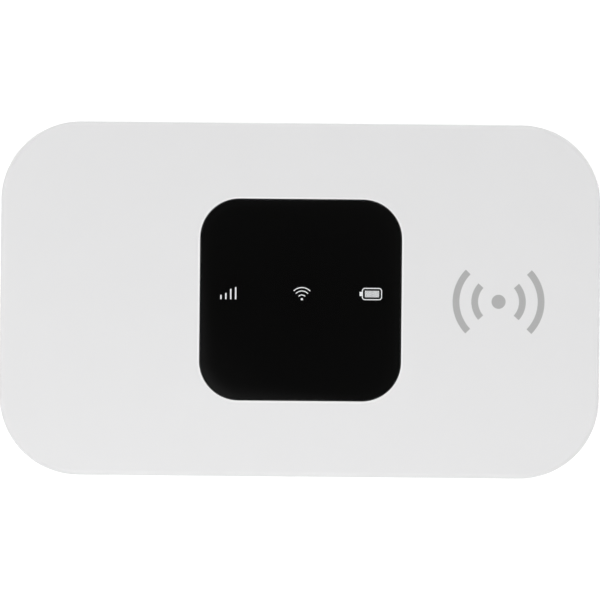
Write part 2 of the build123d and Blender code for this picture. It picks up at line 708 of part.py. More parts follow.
with BuildPart() as thread_inserts:
    with BuildSketch(Plane.XY.offset(BOSS_BOTTOM)):
        screw_circles(INSERT_R)
        screw_circles(INSERT_BORE_R, mode=Mode.SUBTRACT)
    extrude(amount=INSERT_L)
thread_inserts.part.label = "thread_inserts"
export_step(thread_inserts.part, "parts/thread_inserts.step")


# ---------------------------------------------------------------- main board
with BuildPart() as main_board:
    with BuildSketch(Plane.XY.offset(BOARD_Z)):
        case_plan(BOARD_INSET)
        screw_circles(SCREW_CLEAR_R, mode=Mode.SUBTRACT)
        # notch for the USB socket, which sits in the board's thickness
        with Locations((0, -WIDTH / 2)):
            Rectangle(
                USB_W + 2 * USB_NOTCH_GAP,
                USB_RECESS + USB_DEPTH + USB_NOTCH_BACK_GAP,
                align=(Align.CENTER, Align.MIN),
                mode=Mode.SUBTRACT,
            )
        # notch for the button flanges
        notch_from = WIFI_X - WIFI_L / 2 - FLANGE_GROW - BUTTON_NOTCH_GAP
        notch_to = POWER_X + POWER_L / 2 + FLANGE_GROW + BUTTON_NOTCH_GAP
        with Locations((notch_from, WIDTH / 2)):
            Rectangle(
                notch_to - notch_from,
                WIDTH / 2 - FLANGE_BACK_Y + BUTTON_NOTCH_GAP,
                align=(Align.MIN, Align.MAX),
                mode=Mode.SUBTRACT,
            )
    extrude(amount=BOARD_T)
main_board.part.label = "main_board"
export_step(main_board.part, "parts/main_board.step")


def shield_can(centre_x, centre_y, length, width):
    """Sheet-metal can, open below, standing on the board."""
    with BuildPart() as can:
        with BuildSketch(Plane.XY.offset(BOARD_TOP)):
            with Locations((centre_x, centre_y)):
                RectangleRounded(length, width, CAN_R)
        extrude(amount=CAN_H)
        with BuildSketch(Plane.XY.offset(BOARD_TOP)):
            with Locations((centre_x, centre_y)):
                RectangleRounded(length - 2 * CAN_T, width - 2 * CAN_T, CAN_R - CAN_T)
        extrude(amount=CAN_H - CAN_T, mode=Mode.SUBTRACT)
        # vent holes in the lid
        with BuildSketch(Plane.XY.offset(BOARD_TOP + CAN_H - CAN_T)):
            with Locations((centre_x, centre_y)):
                with GridLocations(VENT_PITCH, VENT_PITCH, int(length // VENT_PITCH) - 1, 2):
                    Circle(VENT_R)
        extrude(amount=CAN_T, mode=Mode.SUBTRACT)
    return can


baseband_shield = shield_can(*BASEBAND_CAN)
baseband_shield.part.label = "baseband_shield"
export_step(baseband_shield.part, "parts/baseband_shield.step")

rf_shield = shield_can(*RF_CAN)
rf_shield.part.label = "rf_shield"
export_step(rf_shield.part, "parts/rf_shield.step")

wifi_shield = shield_can(*WIFI_CAN)
wifi_shield.part.label = "wifi_shield"
export_step(wifi_shield.part, "parts/wifi_shield.step")


# ---------------------------------------------------------------- components on the board
def chip(size, *centres):
    """Moulded chip packages with a bevelled top and a dimple at the first pin."""
    length, width, height = size
    with BuildPart() as package:
        with Locations(*[(x, y, BOARD_TOP + CHIP_STANDOFF) for x, y in centres]):
            Box(length, width, height - CHIP_STANDOFF, align=ON_TOP)
        chamfer(package.edges().group_by(Axis.Z)[-1], CHIP_BEVEL)
        # the contact side is set in below the moulding
        with Locations(*[(x, y, BOARD_TOP) for x, y in centres]):
            Box(length - 2 * CHIP_BEVEL, width - 2 * CHIP_BEVEL, CHIP_STANDOFF, align=ON_TOP)
        dimple_x = length / 2 - 2 * CHIP_BEVEL - PIN_DIMPLE_R
        dimple_y = width / 2 - 2 * CHIP_BEVEL - PIN_DIMPLE_R
        with Locations(*[(x - dimple_x, y + dimple_y, BOARD_TOP + height) for x, y in centres]):
            Cylinder(PIN_DIMPLE_R, 2 * PIN_DIMPLE_DEPTH, mode=Mode.SUBTRACT)
    return package


def capped_block(size, cap, *centres):
    """Small two-ended components: a body with a slightly larger metal cap at each end."""
    length, width, height = size
    cap_x = (length - cap) / 2
    with BuildPart() as block:
        with Locations(*[(x + side * cap_x, y, BOARD_TOP) for x, y in centres for side in (-1, 1)]):
            Box(cap, width, height, align=ON_TOP)
        chamfer(block.edges().group_by(Axis.Z)[-1], CAP_BEVEL)
        with Locations(*[(x, y, BOARD_TOP) for x, y in centres]):
            Box(length - cap, width - 2 * CAP_STEP, height - CAP_STEP, align=ON_TOP)
    return block


baseband_chip = chip(BASEBAND_CHIP, BASEBAND_CHIP_AT)
baseband_chip.part.label = "baseband_chip"
export_step(baseband_chip.part, "parts/baseband_chip.step")

memory_chip = chip(MEMORY_CHIP, MEMORY_CHIP_AT)
memory_chip.part.label = "memory_chip"
export_step(memory_chip.part, "parts/memory_chip.step")

power_chip = chip(POWER_CHIP, POWER_CHIP_AT)
power_chip.part.label = "power_chip"
export_step(power_chip.part, "parts/power_chip.step")

transceiver_chip = chip(TRANSCEIVER_CHIP, TRANSCEIVER_CHIP_AT)
transceiver_chip.part.label = "transceiver_chip"
export_step(transceiver_chip.part, "parts/transceiver_chip.step")

power_amplifiers = chip(AMPLIFIER, *AMPLIFIERS_AT)
power_amplifiers.part.label = "power_amplifiers"
export_step(power_amplifiers.part, "parts/power_amplifiers.step")

wifi_chip = chip(WIFI_CHIP, WIFI_CHIP_AT)
wifi_chip.part.label = "wifi_chip"
export_step(wifi_chip.part, "parts/wifi_chip.step")

BASEBAND_TOP = BOARD_TOP + BASEBAND_CHIP[2]
with BuildPart() as thermal_pad:
    with Locations((*BASEBAND_CHIP_AT, BASEBAND_TOP)):
        Box(
            THERMAL_PAD_SIDE,
            THERMAL_PAD_SIDE,
            BOARD_TOP + CAN_H - CAN_T - BASEBAND_TOP,
            align=ON_TOP,
        )
thermal_pad.part.label = "thermal_pad"
export_step(thermal_pad.part, "parts/thermal_pad.step")

INDUCTOR_L, INDUCTOR_W, INDUCTOR_H = INDUCTOR
NOTCH_DEPTH, NOTCH_W, NOTCH_H = INDUCTOR_NOTCH
with BuildPart() as power_inductors:
    with BuildSketch(Plane.XY.offset(BOARD_TOP)):
        with Locations(*INDUCTORS_AT):
            RectangleRounded(INDUCTOR_L, INDUCTOR_W, INDUCTOR_R)
    extrude(amount=INDUCTOR_H)
    chamfer(power_inductors.edges().group_by(Axis.Z)[-1], INDUCTOR_BEVEL)
    # notches where the winding's two ends come down to the board
    ends = [(x + side * INDUCTOR_L / 2, y) for x, y in INDUCTORS_AT for side in (-1, 1)]
    with Locations(*[(x, y, BOARD_TOP) for x, y in ends]):
        Box(2 * NOTCH_DEPTH, NOTCH_W, NOTCH_H, align=ON_TOP, mode=Mode.SUBTRACT)
power_inductors.part.label = "power_inductors"
export_step(power_inductors.part, "parts/power_inductors.step")

with BuildPart() as crystals:
    with Locations(*[(x, y, BOARD_TOP) for x, y in CRYSTALS_AT]):
        Box(*CRYSTAL_BASE, align=ON_TOP)
    # seam-welded lid
    with BuildSketch(Plane.XY.offset(BOARD_TOP + CRYSTAL_BASE[2])):
        with Locations(*CRYSTALS_AT):
            RectangleRounded(CRYSTAL_LID[0], CRYSTAL_LID[1], CRYSTAL_LID_R)
    extrude(amount=CRYSTAL_LID[2])
    chamfer(crystals.edges().group_by(Axis.Z)[-1], CRYSTAL_BEVEL)
crystals.part.label = "crystals"
export_step(crystals.part, "parts/crystals.step")

PASSIVES_AT = [
    (x + PASSIVE_PITCH[0] * column, y + PASSIVE_PITCH[1] * row)
    for x, y in PASSIVE_GROUPS_AT
    for column in (-2, -1, 0, 1, 2)
    for row in (-0.5, 0.5)
]
board_passives = capped_block(PASSIVE, PASSIVE_CAP, *PASSIVES_AT)
board_passives.part.label = "board_passives"
export_step(board_passives.part, "parts/board_passives.step")


# ---------------------------------------------------------------- USB socket
def usb_section(inset, mode=Mode.ADD):
    """Socket section: a rectangle with its lower corners cut, moved in by inset."""
    half_w = USB_W / 2 - inset
    half_h = USB_H / 2 - inset
    Polygon(
        (-half_w, half_h),
        (-half_w, USB_CORNER_CUT - half_h),
        (USB_CORNER_CUT - half_w, -half_h),
        (half_w - USB_CORNER_CUT, -half_h),
        (half_w, USB_CORNER_CUT - half_h),
        (half_w, half_h),
        align=None,
        mode=mode,
    )


with BuildPart() as usb_shell:
    with BuildSketch(Plane.front.offset(USB_FRONT_Y - USB_DEPTH)):
        with Locations((0, USB_Z)):
            usb_section(0)
    extrude(amount=USB_DEPTH)
    fillet(usb_shell.edges().filter_by(Axis.Y), USB_EDGE_R)
    with BuildSketch(Plane.front.offset(USB_FRONT_Y - USB_DEPTH + USB_SHEET)):
        with Locations((0, USB_Z)):
            usb_section(USB_SHEET)
    extrude(amount=USB_DEPTH - USB_SHEET, mode=Mode.SUBTRACT)
    tab_x = (USB_W - USB_SHEET + USB_TAB[0]) / 2
    with Locations(*[(side * tab_x, USB_TAB_Y - USB_FRONT_Y, BOARD_TOP) for side in (-1, 1)]):
        Box(*USB_TAB, align=ON_TOP)
usb_shell.part.label = "usb_shell"
export_step(usb_shell.part, "parts/usb_shell.step")

with BuildPart() as usb_tongue:
    with BuildSketch(Plane.front.offset(USB_FRONT_Y - USB_DEPTH + USB_SHEET)):
        with Locations((0, USB_Z)):
            usb_section(USB_SHEET + USB_BASE_PLAY)
    extrude(amount=USB_BASE_T)
    with BuildSketch(Plane.front.offset(USB_FRONT_Y - USB_DEPTH + USB_SHEET)):
        with Locations((0, USB_TONGUE_Z)):
            Rectangle(*USB_TONGUE)
    extrude(amount=USB_TONGUE_L)
usb_tongue.part.label = "usb_tongue"
export_step(usb_tongue.part, "parts/usb_tongue.step")

with BuildPart() as usb_contacts:
    contact_y = -(USB_FRONT_Y - USB_DEPTH + USB_SHEET + USB_BASE_T)
    with Locations((0, contact_y, USB_TONGUE_Z - USB_TONGUE[1] / 2)):
        with GridLocations(USB_CONTACT_PITCH, 0, 5, 1):
            Box(*USB_CONTACT, align=(Align.CENTER, Align.MAX, Align.MAX))
usb_contacts.part.label = "usb_contacts"
export_step(usb_contacts.part, "parts/usb_contacts.step")


# ---------------------------------------------------------------- side buttons and their switches
def side_button(centre_x, length):
    """Button cap with the flange that keeps it in the case."""
    with BuildPart() as button:
        with BuildSketch(Plane.back.offset(FLANGE_BACK_Y)):
            with Locations((-centre_x, BUTTON_Z)):
                button_plan(length, BUTTON_H, FLANGE_GROW)
        extrude(amount=FLANGE_T)
        with BuildSketch(Plane.back.offset(FLANGE_BACK_Y)):
            with Locations((-centre_x, BUTTON_Z)):
                button_plan(length, BUTTON_H, 0)
        extrude(amount=WIDTH / 2 - BUTTON_RECESS - FLANGE_BACK_Y)
        fillet(button.edges().group_by(Axis.Y)[-1], BUTTON_EDGE_R)
    return button


def switch_plunger(centre_x):
    """Stem between a button's flange and the inside of its switch."""
    with BuildPart() as plunger:
        with Locations((centre_x, SWITCH_FRONT_Y - PLUNGER_TAIL, PLUNGER_Z)):
            Box(
                PLUNGER_W,
                FLANGE_BACK_Y - SWITCH_FRONT_Y + PLUNGER_TAIL,
                PLUNGER_H,
                align=(Align.CENTER, Align.MIN, Align.CENTER),
            )
    return plunger


power_button = side_button(POWER_X, POWER_L)
power_button.part.label = "power_button"
export_step(power_button.part, "parts/power_button.step")

power_plunger = switch_plunger(POWER_X)
power_plunger.part.label = "power_plunger"
export_step(power_plunger.part, "parts/power_plunger.step")

wifi_button = side_button(WIFI_X, WIFI_L)
wifi_button.part.label = "wifi_button"
export_step(wifi_button.part, "parts/wifi_button.step")

wifi_plunger = switch_plunger(WIFI_X)
wifi_plunger.part.label = "wifi_plunger"
export_step(wifi_plunger.part, "parts/wifi_plunger.step")

with BuildPart() as side_switches:
    with Locations((POWER_X, SWITCH_FRONT_Y, BOARD_TOP), (WIFI_X, SWITCH_FRONT_Y, BOARD_TOP)):
        Box(*SWITCH_SIZE, align=(Align.CENTER, Align.MAX, Align.MIN))
    with Locations((POWER_X, SWITCH_FRONT_Y, PLUNGER_Z), (WIFI_X, SWITCH_FRONT_Y, PLUNGER_Z)):
        Box(
            PLUNGER_W + 2 * PLUNGER_GAP,
            SWITCH_POCKET,
            PLUNGER_H + 2 * PLUNGER_GAP,
            align=(Align.CENTER, Align.MAX, Align.CENTER),
            mode=Mode.SUBTRACT,
        )
side_switches.part.label = "side_switches"
export_step(side_switches.part, "parts/side_switches.step")

with BuildPart() as reset_switch:
    with Locations((RESET_X, RESET_Y, BOARD_Z)):
        Box(RESET_SIZE, RESET_SIZE, RESET_T, align=UNDER)
    with Locations((RESET_X, RESET_Y, RESET_POCKET_TOP)):
        Cylinder(RESET_PLUNGER_R + RESET_PLAY, 2 * RESET_T, align=UNDER, mode=Mode.SUBTRACT)
reset_switch.part.label = "reset_switch"
export_step(reset_switch.part, "parts/reset_switch.step")

with BuildPart() as reset_plunger:
    with Locations((RESET_X, RESET_Y, RESET_PLUNGER_BOTTOM)):
        Cylinder(RESET_PLUNGER_R, RESET_PLUNGER_TOP - RESET_PLUNGER_BOTTOM, align=ON_TOP)
reset_plunger.part.label = "reset_plunger"
export_step(reset_plunger.part, "parts/reset_plunger.step")


# ---------------------------------------------------------------- SIM holder
SIM_CAGE_BOTTOM = SIM_CARD_Z - SIM_CARD_PLAY - SIM_CAGE_T
SIM_CAGE_MID_Y = sum(SIM_CAGE_Y) / 2
SIM_CAGE_L = SIM_CAGE_Y[1] - SIM_CAGE_Y[0]
with BuildPart() as sim_cage:
    with Locations((SIM_X, SIM_CAGE_MID_Y, SIM_CAGE_BOTTOM)):
        Box(SIM_OUTER_W, SIM_CAGE_L, BOARD_Z - SIM_CAGE_BOTTOM, align=ON_TOP)
    with Locations((SIM_X, SIM_CAGE_MID_Y - SIM_CAGE_WALL, SIM_CAGE_BOTTOM + SIM_CAGE_T)):
        Box(
            SIM_INNER_W,
            SIM_CAGE_L,
            BOARD_Z - SIM_CAGE_BOTTOM,
            align=ON_TOP,
            mode=Mode.SUBTRACT,
        )
    # window that shows the card
    with Locations((SIM_X, SIM_CAGE_MID_Y + SIM_FRAME_SHIFT, SIM_CAGE_BOTTOM)):
        Box(
            SIM_CARD_W - SIM_FRAME[0],
            SIM_CAGE_L - SIM_FRAME[1],
            2 * SIM_CAGE_T,
            mode=Mode.SUBTRACT,
        )
    # thumb scallop at the mouth
    with Locations((SIM_X, SIM_CAGE_Y[0], SIM_CAGE_BOTTOM)):
        Cylinder(SIM_SCALLOP_R, 2 * SIM_CAGE_T, mode=Mode.SUBTRACT)
sim_cage.part.label = "sim_cage"
export_step(sim_cage.part, "parts/sim_cage.step")

with BuildPart() as sim_base:
    with Locations((SIM_X, SIM_CAGE_MID_Y - SIM_CAGE_WALL / 2, BOARD_Z)):
        Box(
            SIM_INNER_W - 2 * SIM_BASE_PLAY,
            SIM_CAGE_L - SIM_CAGE_WALL - 2 * SIM_BASE_PLAY,
            SIM_BASE_T,
            align=UNDER,
        )
    with Locations(*[(SIM_X, y, BOARD_Z) for y in SIM_CONTACT_YS]):
        with GridLocations(SIM_CONTACT_PITCH, 0, 3, 1):
            Box(*SIM_SLOT, 2 * SIM_BASE_T, mode=Mode.SUBTRACT)
sim_base.part.label = "sim_base"
export_step(sim_base.part, "parts/sim_base.step")

with BuildPart() as sim_contacts:
    contact_z = SIM_CARD_Z + SIM_CARD_T + SIM_CONTACT_GAP
    with Locations(*[(SIM_X, y, contact_z) for y in SIM_CONTACT_YS]):
        with GridLocations(SIM_CONTACT_PITCH, 0, 3, 1):
            Box(*SIM_CONTACT, align=ON_TOP)
sim_contacts.part.label = "sim_contacts"
export_step(sim_contacts.part, "parts/sim_contacts.step")

with BuildPart() as sim_card:
    with BuildSketch(Plane.XY.offset(SIM_CARD_Z)):
        with Locations((SIM_X, SIM_Y)):
            Rectangle(SIM_CARD_W, SIM_CARD_L)
    extrude(amount=SIM_CARD_T)
    upright = sim_card.edges().filter_by(Axis.Z)
    chamfer(upright.group_by(Axis.X)[-1].sort_by(Axis.Y)[-1], SIM_CARD_CORNER)
sim_card.part.label = "sim_card"
export_step(sim_card.part, "parts/sim_card.step")


# ---------------------------------------------------------------- battery connector
with BuildPart() as battery_connector:
    with Locations((CONNECTOR_X, 0, CONNECTOR_BOTTOM)):
        Box(
            CONNECTOR_L,
            CONNECTOR_W,
            BOARD_Z - CONNECTOR_BOTTOM,
            align=(Align.MIN, Align.CENTER, Align.MIN),
        )
    fillet(battery_connector.edges().group_by(Axis.Z)[0], CONNECTOR_EDGE_R)
    slot_depth, slot_w, slot_h = SPRING_SLOT
    with Locations(*[(CONNECTOR_X, y, BATTERY_MID_Z) for y in CONTACT_YS]):
        Box(2 * slot_depth, slot_w, slot_h, mode=Mode.SUBTRACT)
battery_connector.part.label = "battery_connector"
export_step(battery_connector.part, "parts/battery_connector.step")

# each spring is a bent strip: two legs in the connector's slot, and a nose towards the battery
LOWER_LEG = [(CONNECTOR_X + depth, BATTERY_MID_Z - rise) for depth, rise in SPRING_BENDS]
UPPER_LEG = [(CONNECTOR_X + depth, BATTERY_MID_Z + rise) for depth, rise in SPRING_BENDS]
with BuildPart() as battery_springs:
    for contact_y in CONTACT_YS:
        with BuildSketch(Plane.XZ.offset(-contact_y)):
            with BuildLine():
                Polyline(*LOWER_LEG[::-1], (SPRING_NOSE_X, BATTERY_MID_Z), *UPPER_LEG)
            trace(line_width=SPRING_T)
        extrude(amount=SPRING_W / 2, both=True)
battery_springs.part.label = "battery_springs"
export_step(battery_springs.part, "parts/battery_springs.step")


# ---------------------------------------------------------------- battery
def battery_section(inset):
    """Cross-section of the battery, moved in by inset."""
    RectangleRounded(BATTERY_W - 2 * inset, BATTERY_T - 2 * inset, BATTERY_R - inset)


PLAIN_END_X = BATTERY_X - BATTERY_L / 2
CELL_START_X = PLAIN_END_X + END_CAP_L
CELL_L = BATTERY_L - END_CAP_L - CONTACT_CAP_L
CONTACT_CAP_X = BATTERY_END_X - CONTACT_CAP_L

with BuildPart() as battery_cell:
    with BuildSketch(Plane.YZ.offset(CELL_START_X)):
        with Locations((0, BATTERY_MID_Z)):
            battery_section(WRAP_T)
    extrude(amount=CELL_L)
battery_cell.part.label = "battery_cell"
export_step(battery_cell.part, "parts/battery_cell.step")

with BuildPart() as battery_wrap:
    with BuildSketch(Plane.YZ.offset(CELL_START_X)):
        with Locations((0, BATTERY_MID_Z)):
            battery_section(0)
    extrude(amount=CELL_L)
    with BuildSketch(Plane.YZ.offset(CELL_START_X)):
        with Locations((0, BATTERY_MID_Z)):
            battery_section(WRAP_T)
    extrude(amount=CELL_L, mode=Mode.SUBTRACT)
battery_wrap.part.label = "battery_wrap"
export_step(battery_wrap.part, "parts/battery_wrap.step")

with BuildPart() as battery_end_cap:
    with BuildSketch(Plane.YZ.offset(PLAIN_END_X)):
        with Locations((0, BATTERY_MID_Z)):
            battery_section(0)
    extrude(amount=END_CAP_L)
    fillet(battery_end_cap.edges().group_by(Axis.X)[0], CAP_EDGE_R)
battery_end_cap.part.label = "battery_end_cap"
export_step(battery_end_cap.part, "parts/battery_end_cap.step")

with BuildPart() as battery_contact_cap:
    with BuildSketch(Plane.YZ.offset(CONTACT_CAP_X)):
        with Locations((0, BATTERY_MID_Z)):
            battery_section(0)
    extrude(amount=CONTACT_CAP_L)
    fillet(battery_contact_cap.edges().group_by(Axis.X)[-1], CAP_EDGE_R)
    # pockets: the contacts in the end face, and the protection board behind them
    with Locations(*[(BATTERY_END_X, y, BATTERY_MID_Z) for y in CONTACT_YS]):
        Box(2 * CONTACT_T, CONTACT_W, CONTACT_H, mode=Mode.SUBTRACT)
    with Locations((CONTACT_CAP_X, 0, BATTERY_MID_Z)):
        Box(2 * PROTECTION_L, PROTECTION_W, PROTECTION_H, mode=Mode.SUBTRACT)
battery_contact_cap.part.label = "battery_contact_cap"
export_step(battery_contact_cap.part, "parts/battery_contact_cap.step")

with BuildPart() as battery_contacts:
    with Locations(*[(BATTERY_END_X, y, BATTERY_MID_Z) for y in CONTACT_YS]):
        Box(CONTACT_T, CONTACT_W, CONTACT_H, align=(Align.MAX, Align.CENTER, Align.CENTER))
battery_contacts.part.label = "battery_contacts"
export_step(battery_contacts.part, "parts/battery_contacts.step")

with BuildPart() as protection_board:
    with Locations((CONTACT_CAP_X, 0, BATTERY_MID_Z)):
        Box(
            PROTECTION_L,
            PROTECTION_W,
            PROTECTION_H,
            align=(Align.MIN, Align.CENTER, Align.CENTER),
        )
protection_board.part.label = "protection_board"
export_step(protection_board.part, "parts/protection_board.step")


# ---------------------------------------------------------------- antennas
CARRIER_TOP = BOARD_TOP + CARRIER_H
with BuildPart() as antenna_carriers:
    with Locations((-CARRIER_X, 0, BOARD_TOP), (CARRIER_X, 0, BOARD_TOP)):
        Box(CARRIER_L, CARRIER_W, CARRIER_H, align=ON_TOP)
        Box(
            CARRIER_L - 2 * CARRIER_WALL,
            CARRIER_W - 2 * CARRIER_WALL,
            CARRIER_H - CARRIER_WALL,
            align=ON_TOP,
            mode=Mode.SUBTRACT,
        )
antenna_carriers.part.label = "antenna_carriers"
export_step(antenna_carriers.part, "parts/antenna_carriers.step")


def antenna_foil(side, slot_ys):
    """Foil over a carrier's top and outer face, slotted from both edges in turn."""
    outer_x = side * (CARRIER_X + CARRIER_L / 2)
    with BuildPart() as foil:
        with Locations((side * (CARRIER_X + FOIL_T / 2), 0, CARRIER_TOP)):
            Box(CARRIER_L + FOIL_T, CARRIER_W, FOIL_T, align=ON_TOP)
        with Locations((outer_x + side * FOIL_T / 2, 0, CARRIER_TOP)):
            Box(FOIL_T, CARRIER_W, CARRIER_H - FOIL_LIFT, align=UNDER)
        for count, slot_y in enumerate(slot_ys):
            shift = (-1) ** count * FOIL_SLOT_SHIFT
            with Locations((side * CARRIER_X + shift, slot_y, CARRIER_TOP)):
                Box(CARRIER_L, FOIL_SLOT, 3 * FOIL_T, mode=Mode.SUBTRACT)
    return foil


main_antenna = antenna_foil(-1, MAIN_SLOT_YS)
main_antenna.part.label = "main_antenna"
export_step(main_antenna.part, "parts/main_antenna.step")

diversity_antenna = antenna_foil(1, DIVERSITY_SLOT_YS)
diversity_antenna.part.label = "diversity_antenna"
export_step(diversity_antenna.part, "parts/diversity_antenna.step")

wifi_antenna = capped_block(WIFI_ANTENNA, WIFI_ANTENNA_CAP, WIFI_ANTENNA_AT)
wifi_antenna.part.label = "wifi_antenna"
export_step(wifi_antenna.part, "parts/wifi_antenna.step")

# C-shaped clips, open towards the middle of the board
CLIP_SPOTS = [(side, y) for side in (-1, 1) for y in CLIP_YS]
with BuildPart() as antenna_springs:
    with Locations(*[(side * CLIP_X, y, BOARD_TOP) for side, y in CLIP_SPOTS]):
        Box(*CLIP_SIZE, align=ON_TOP)
    with Locations(*[(side * (CLIP_X - CLIP_T), y, BOARD_TOP + CLIP_T) for side, y in CLIP_SPOTS]):
        Box(
            CLIP_SIZE[0],
            CLIP_SIZE[1] + 2 * CUT_THROUGH,
            CLIP_SIZE[2] - 2 * CLIP_T,
            align=ON_TOP,
            mode=Mode.SUBTRACT,
        )
antenna_springs.part.label = "antenna_springs"
export_step(antenna_springs.part, "parts/antenna_springs.step")
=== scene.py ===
import json
import math

import bmesh
import bpy
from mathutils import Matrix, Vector


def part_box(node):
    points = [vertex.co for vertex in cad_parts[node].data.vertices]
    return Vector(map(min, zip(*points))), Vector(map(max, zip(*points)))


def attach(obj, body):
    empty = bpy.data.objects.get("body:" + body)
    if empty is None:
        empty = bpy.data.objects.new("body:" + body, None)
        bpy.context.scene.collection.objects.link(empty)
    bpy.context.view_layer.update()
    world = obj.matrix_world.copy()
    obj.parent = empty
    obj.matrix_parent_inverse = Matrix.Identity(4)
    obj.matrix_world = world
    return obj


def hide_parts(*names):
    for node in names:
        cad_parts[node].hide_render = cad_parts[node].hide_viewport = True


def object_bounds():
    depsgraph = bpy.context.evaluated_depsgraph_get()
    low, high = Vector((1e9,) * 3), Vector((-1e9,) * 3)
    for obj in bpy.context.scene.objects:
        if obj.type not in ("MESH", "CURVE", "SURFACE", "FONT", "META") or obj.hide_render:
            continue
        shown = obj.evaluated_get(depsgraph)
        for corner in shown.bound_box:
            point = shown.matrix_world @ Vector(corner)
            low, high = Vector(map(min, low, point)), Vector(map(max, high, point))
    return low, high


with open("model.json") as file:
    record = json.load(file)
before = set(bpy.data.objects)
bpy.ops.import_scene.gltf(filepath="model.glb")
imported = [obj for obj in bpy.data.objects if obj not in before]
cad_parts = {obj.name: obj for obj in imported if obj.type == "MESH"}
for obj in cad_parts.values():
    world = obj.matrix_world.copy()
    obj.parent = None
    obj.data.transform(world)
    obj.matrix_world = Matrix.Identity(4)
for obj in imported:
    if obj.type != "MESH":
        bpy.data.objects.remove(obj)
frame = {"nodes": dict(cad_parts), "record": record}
cad_low, cad_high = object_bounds()
nodes = frame["nodes"]

MM = 0.001
WAVE_PHASE = 20               # phase of the wave texture per metre at a scale of 1


# ---------------------------------------------------------------- shader building
class Shader:
    """A node material with one Principled BSDF, and short calls for the nodes it is fed from."""

    def __init__(self, name, color, roughness, **sockets):
        self.material = bpy.data.materials.new(name)
        self.material.use_nodes = True
        self.tree = self.material.node_tree
        self.bsdf = self.tree.nodes["Principled BSDF"]
        self.bsdf.inputs["Base Color"].default_value = (*color, 1)
        self.bsdf.inputs["Roughness"].default_value = roughness
        for socket, value in sockets.items():
            self.bsdf.inputs[socket.replace("_", " ")].default_value = value
        self.coords = self.node("ShaderNodeTexCoord").outputs["Object"]

    def node(self, kind, **settings):
        made = self.tree.nodes.new(kind)
        for key, value in settings.items():
            setattr(made, key, value)
        return made

    def link(self, source, target):
        self.tree.links.new(source, target)

    def shifted(self, seed, stretch=(1, 1, 1)):
        """Object coordinates, moved by seed and stretched along each axis."""
        mapping = self.node("ShaderNodeMapping")
        mapping.inputs["Location"].default_value = (seed, seed, seed)
        mapping.inputs["Scale"].default_value = stretch
        self.link(self.coords, mapping.inputs["Vector"])
        return mapping.outputs["Vector"]

    def noise(self, size, detail=2.0, seed=0.0, stretch=(1, 1, 1)):
        """Noise whose blobs are about size metres across, from 0 to 1."""
        noise = self.node("ShaderNodeTexNoise")
        noise.inputs["Scale"].default_value = 1 / size
        noise.inputs["Detail"].default_value = detail
        self.link(self.shifted(seed, stretch), noise.inputs["Vector"])
        return noise.outputs["Fac"]

    def cells(self, size, output="Distance", metric="EUCLIDEAN"):
        """Voronoi cells about size metres across."""
        voronoi = self.node("ShaderNodeTexVoronoi", distance=metric)
        voronoi.inputs["Scale"].default_value = 1 / size
        self.link(self.coords, voronoi.inputs["Vector"])
        return voronoi.outputs[output]

    def lines(self, pitch, direction):
        """Even bands across X or Y, pitch metres apart, from 0 to 1."""
        wave = self.node("ShaderNodeTexWave", bands_direction=direction)
        wave.inputs["Scale"].default_value = 2 * math.pi / (WAVE_PHASE * pitch)
        self.link(self.coords, wave.inputs["Vector"])
        return wave.outputs["Fac"]

    def spread(self, source, low, high, start=0.3, end=0.7):
        """Maps source from start..end to low..high."""
        span = self.node("ShaderNodeMapRange")
        self.link(source, span.inputs["Value"])
        for key, value in (("From Min", start), ("From Max", end), ("To Min", low), ("To Max", high)):
            span.inputs[key].default_value = value
        return span.outputs["Result"]

    def pick(self, chooser, first, second):
        """The first value where chooser is 0, the second where it is 1."""
        mix = self.node("ShaderNodeMix")
        # these are the mix node's sockets for plain numbers: factor, A and B
        for source, socket in ((chooser, 0), (first, 2), (second, 3)):
            self.link(source, mix.inputs[socket])
        return mix.outputs[0]

    def vary_color(self, source, dark, light, start=0.3, end=0.7):
        """Runs the base colour from dark to light as source goes from start to end."""
        ramp = self.node("ShaderNodeValToRGB")
        for element, color, place in zip(ramp.color_ramp.elements, (dark, light), (start, end)):
            element.color = (*color, 1)
            element.position = place
        self.link(source, ramp.inputs["Fac"])
        self.link(ramp.outputs["Color"], self.bsdf.inputs["Base Color"])

    def vary_roughness(self, source, low, high):
        self.link(self.spread(source, low, high), self.bsdf.inputs["Roughness"])

    def bump(self, source, depth):
        """Raises the surface by depth metres where source is 1."""
        bump = self.node("ShaderNodeBump")
        bump.inputs["Strength"].default_value = 1.0
        bump.inputs["Distance"].default_value = depth
        self.link(source, bump.inputs["Height"])
        self.link(bump.outputs["Normal"], self.bsdf.inputs["Normal"])


def shade(color, factor):
    return [min(1, channel * factor) for channel in color]


# ---------------------------------------------------------------- materials
def moulded(name, color, roughness, grain=0.12 * MM, depth=0.002 * MM, mottle=0.02, **sockets):
    """Moulded plastic: fine spark-eroded grain, and slight unevenness in colour and gloss."""
    shader = Shader(name, color, roughness, **sockets)
    color_patches = shader.noise(9 * MM, 3.0)
    shader.vary_color(color_patches, shade(color, 1 - mottle), shade(color, 1 + mottle))
    gloss_patches = shader.noise(4 * MM, 3.0, seed=0.3)
    shader.vary_roughness(gloss_patches, roughness * 0.9, roughness * 1.1)
    shader.bump(shader.noise(grain, 1.0, seed=0.7), depth)
    return shader.material


def metal(name, color, roughness):
    """Sheet metal with faint rolling marks along Y and slightly uneven plating."""
    shader = Shader(name, color, roughness, Metallic=1.0)
    plating = shader.noise(5 * MM, 3.0, seed=0.5)
    shader.vary_color(plating, shade(color, 0.93), shade(color, 1.03))
    streaks = shader.noise(0.3 * MM, 2.0, stretch=(1, 0.15, 1))
    shader.vary_roughness(streaks, roughness * 0.8, roughness * 1.2)
    shader.bump(streaks, 0.0015 * MM)
    return shader.material


